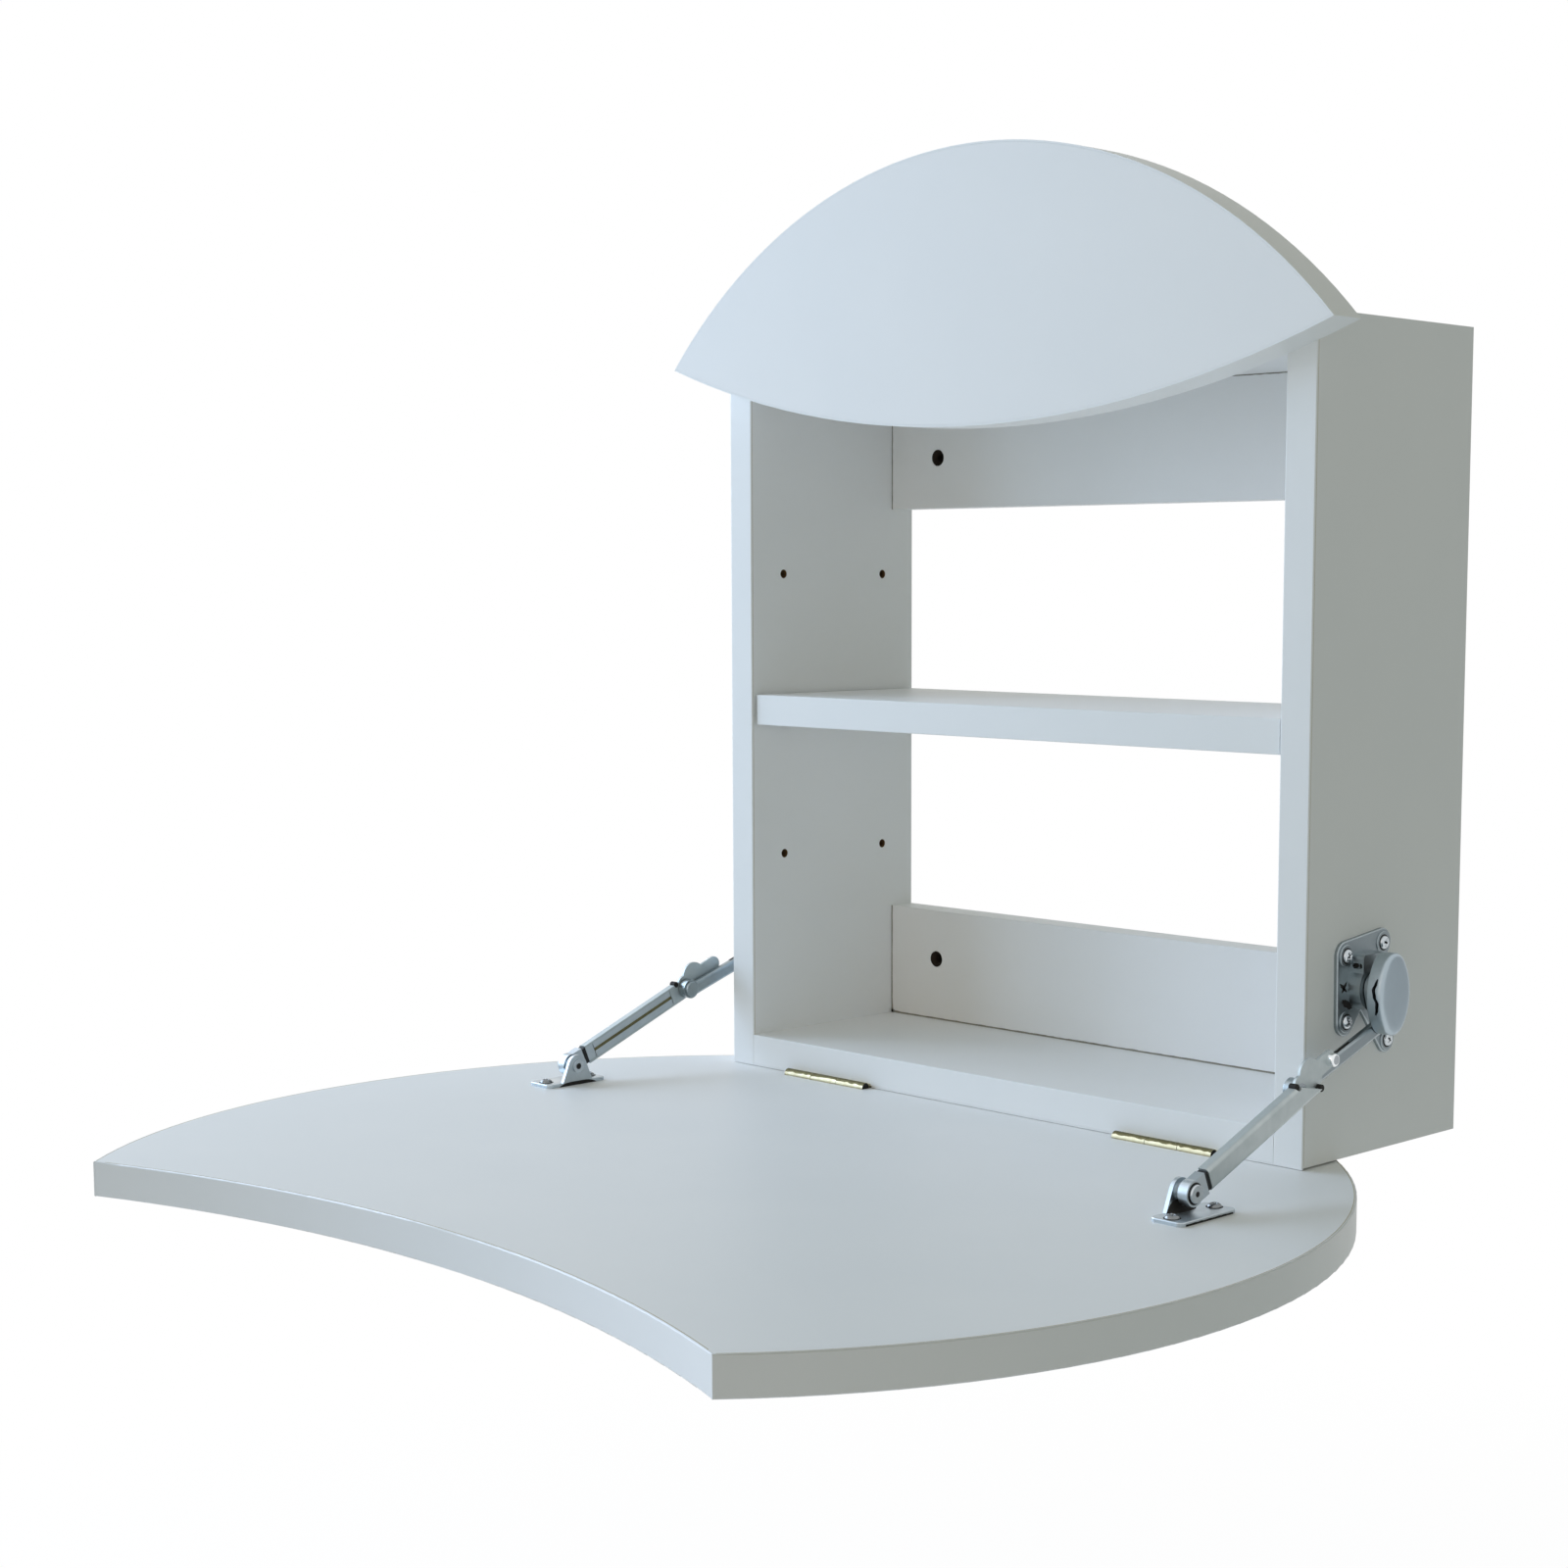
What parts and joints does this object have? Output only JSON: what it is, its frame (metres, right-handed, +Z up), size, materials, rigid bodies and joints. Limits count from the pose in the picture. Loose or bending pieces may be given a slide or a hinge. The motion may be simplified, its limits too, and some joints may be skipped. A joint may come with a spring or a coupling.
{
  "type": "fold-down wall desk",
  "caption": "Shallow wall cabinet with a shelf, an arched header and a round drop leaf that folds out on butt hinges and folding stays to make a desk.",
  "frame": {"origin": "centre of the wall-screw pattern, on the wall plane at the back of the cabinet", "axes": "+X to the right seen from the front, +Y into the wall, +Z up; the leaf is open"},
  "size_m": [0.6, 0.5237, 0.5115],
  "materials": {
    "white_board": "satin white melamine facing",
    "edge_band": "satin white edge band",
    "beech": "turned beech",
    "cam_zinc": "die-cast zinc",
    "hinge_brass": "brass-plated steel",
    "stay_steel": "zinc-plated steel",
    "damper_cap_zinc": "satin nickel plate",
    "pin_steel": "zinc-plated steel",
    "damper_plastic": "moulded"
  },
  "bodies": {
    "cabinet": {"side_panel_left": "white_board", "side_panel_right": "white_board", "side_band_left": "edge_band", "side_band_right": "edge_band", "bottom_panel": "white_board", "bottom_band": "edge_band", "top_panel": "white_board", "lower_rail": "white_board", "upper_rail": "white_board", "shelf": "white_board", "shelf_band": "edge_band", "shelf_pins": "stay_steel", "panel_dowels": "beech", "cam_bolts": "cam_zinc", "cam_discs": "cam_zinc", "header_panel": "white_board", "header_band_upper": "edge_band", "header_band_lower": "edge_band", "header_dowels": "beech", "hinge_plate_left": "hinge_brass", "hinge_plate_right": "hinge_brass", "hinge_pin_left": "hinge_brass", "hinge_pin_right": "hinge_brass", "hinge_screws_cabinet": "hinge_brass", "stay_base_left": "stay_steel", "stay_base_right": "stay_steel", "stay_axle_left": "pin_steel", "stay_axle_right": "pin_steel", "damper_cell_left": "damper_plastic", "damper_cell_right": "damper_plastic", "damper_cap_left": "damper_cap_zinc", "damper_cap_right": "damper_cap_zinc", "stay_screws_left": "pin_steel", "stay_screws_right": "pin_steel"},
    "leaf": {"leaf_panel": "white_board", "leaf_band_round": "edge_band", "leaf_band_front": "edge_band", "leaf_plate_left": "hinge_brass", "leaf_plate_right": "hinge_brass", "hinge_screws_leaf": "hinge_brass", "leaf_bracket_left": "stay_steel", "leaf_bracket_right": "stay_steel", "pivot_pin_left": "pin_steel", "pivot_pin_right": "pin_steel", "bracket_screws_left": "pin_steel", "bracket_screws_right": "pin_steel"},
    "crank_left": {"crank_arm_left": "stay_steel", "elbow_rivet_left": "pin_steel"},
    "arm_left": {"long_arm_left": "stay_steel", "stop_stud_left": "stay_steel", "elbow_pin_left": "pin_steel", "arm_eye_left": "stay_steel"},
    "crank_right": {"crank_arm_right": "stay_steel", "elbow_rivet_right": "pin_steel"},
    "arm_right": {"long_arm_right": "stay_steel", "stop_stud_right": "stay_steel", "elbow_pin_right": "pin_steel", "arm_eye_right": "stay_steel"}
  },
  "joints": [
    {"name": "leaf_hinge", "type": "hinge", "parent": "cabinet", "child": "leaf", "pos_m": [0, -0.1335, -0.2005], "axis": [-1, 0, 0], "range_deg": [0, 90]},
    {"name": "crank_left_turn", "type": "hinge", "parent": "cabinet", "child": "crank_left", "pos_m": [-0.21175, -0.088, -0.117], "axis": [1, 0, 0], "range_deg": [0, 33.7]},
    {"name": "arm_left_turn", "type": "hinge", "parent": "leaf", "child": "arm_left", "pos_m": [-0.21725, -0.23734, -0.1906], "axis": [-1, 0, 0], "range_deg": [0, 20.4]},
    {"name": "crank_right_turn", "type": "hinge", "parent": "cabinet", "child": "crank_right", "pos_m": [0.21175, -0.088, -0.117], "axis": [1, 0, 0], "range_deg": [0, 33.7]},
    {"name": "arm_right_turn", "type": "hinge", "parent": "leaf", "child": "arm_right", "pos_m": [0.21725, -0.23734, -0.1906], "axis": [-1, 0, 0], "range_deg": [0, 20.4]}
  ],
  "couplings": [
    {"joint": "crank_left_turn", "follows": "leaf_hinge", "ratio": 0.37363},
    {"joint": "arm_left_turn", "follows": "leaf_hinge", "ratio": 0.22623},
    {"joint": "crank_right_turn", "follows": "leaf_hinge", "ratio": 0.37363},
    {"joint": "arm_right_turn", "follows": "leaf_hinge", "ratio": 0.22623}
  ]
}
